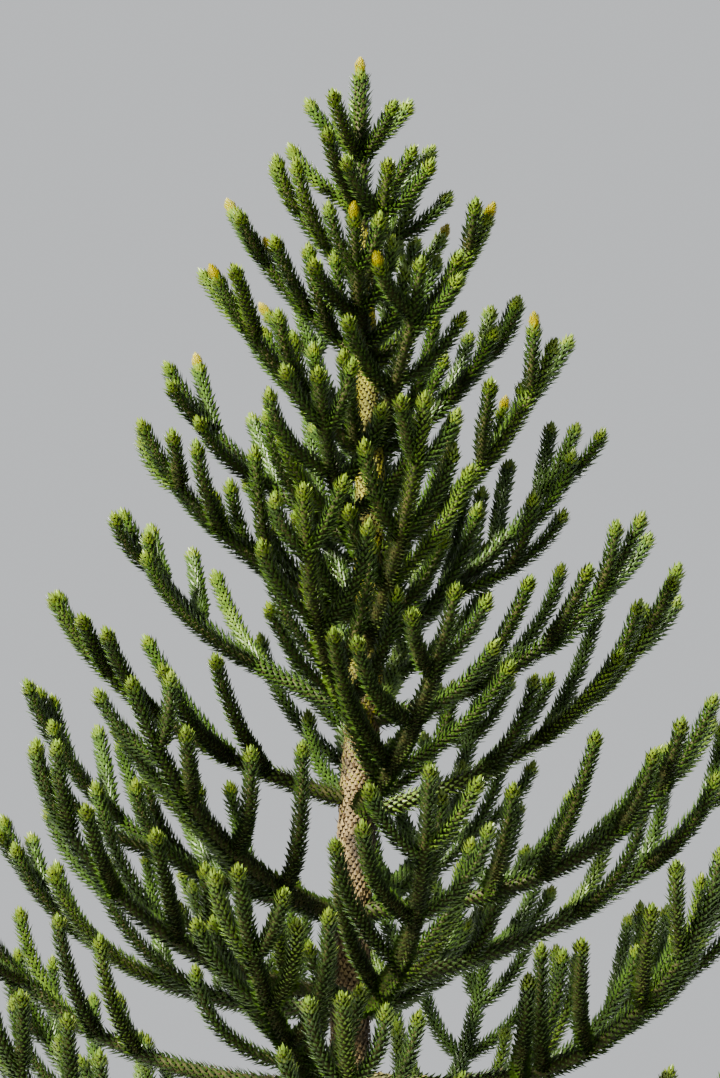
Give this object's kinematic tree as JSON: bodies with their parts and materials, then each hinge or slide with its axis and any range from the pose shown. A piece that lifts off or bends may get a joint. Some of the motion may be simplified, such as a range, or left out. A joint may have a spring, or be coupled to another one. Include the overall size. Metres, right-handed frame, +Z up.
{
  "type": "potted monkey puzzle tree",
  "caption": "Young conical conifer with tiers of upcurving rope-like leafy branches round one straight trunk, standing in a plain tapered pot of soil.",
  "frame": {"origin": "middle of the pot's flat underside, which stands on the ground", "axes": "+Z up along the trunk; +X to the right and +Y away from the viewer in the picture"},
  "size_m": [2.5894, 2.6475, 4.15],
  "materials": {
    "foliage": "waxy leaf",
    "bark": "rough bark",
    "terracotta": "unglazed matte",
    "soil": "loose earth"
  },
  "bodies": {
    "root": {"bough_tier_10_a": "bark", "bough_tier_10_b": "bark", "bough_tier_10_c": "bark", "bough_tier_10_d": "bark", "bough_tier_10_e": "bark", "bough_tier_11_a": "bark", "bough_tier_11_b": "bark", "bough_tier_11_c": "bark", "bough_tier_11_d": "bark", "bough_tier_11_e": "bark", "foliage_tier_01_a": "foliage", "foliage_tier_01_b": "foliage", "foliage_tier_01_c": "foliage", "foliage_tier_02_a": "foliage", "foliage_tier_02_b": "foliage", "foliage_tier_02_c": "foliage", "foliage_tier_02_d": "foliage", "foliage_tier_03_a": "foliage", "foliage_tier_03_b": "foliage", "foliage_tier_03_c": "foliage", "foliage_tier_03_d": "foliage", "foliage_tier_04_a": "foliage", "foliage_tier_04_b": "foliage", "foliage_tier_04_c": "foliage", "foliage_tier_04_d": "foliage", "foliage_tier_05_a": "foliage", "foliage_tier_05_b": "foliage", "foliage_tier_05_c": "foliage", "foliage_tier_05_d": "foliage", "foliage_tier_06_a": "foliage", "foliage_tier_06_b": "foliage", "foliage_tier_06_c": "foliage", "foliage_tier_06_d": "foliage", "foliage_tier_07_a": "foliage", "foliage_tier_07_b": "foliage", "foliage_tier_07_c": "foliage", "foliage_tier_07_d": "foliage", "foliage_tier_08_a": "foliage", "foliage_tier_08_b": "foliage", "foliage_tier_08_c": "foliage", "foliage_tier_08_d": "foliage", "foliage_tier_09_a": "foliage", "foliage_tier_09_b": "foliage", "foliage_tier_09_c": "foliage", "foliage_tier_09_d": "foliage", "foliage_tier_09_e": "foliage", "foliage_tier_10_a": "foliage", "foliage_tier_10_b": "foliage", "foliage_tier_10_c": "foliage", "foliage_tier_10_d": "foliage", "foliage_tier_10_e": "foliage", "foliage_tier_11_a": "foliage", "foliage_tier_11_b": "foliage", "foliage_tier_11_c": "foliage", "foliage_tier_11_d": "foliage", "foliage_tier_11_e": "foliage", "leader": "foliage", "pot": "terracotta", "soil": "soil", "trunk": "bark"}
  },
  "joints": []
}
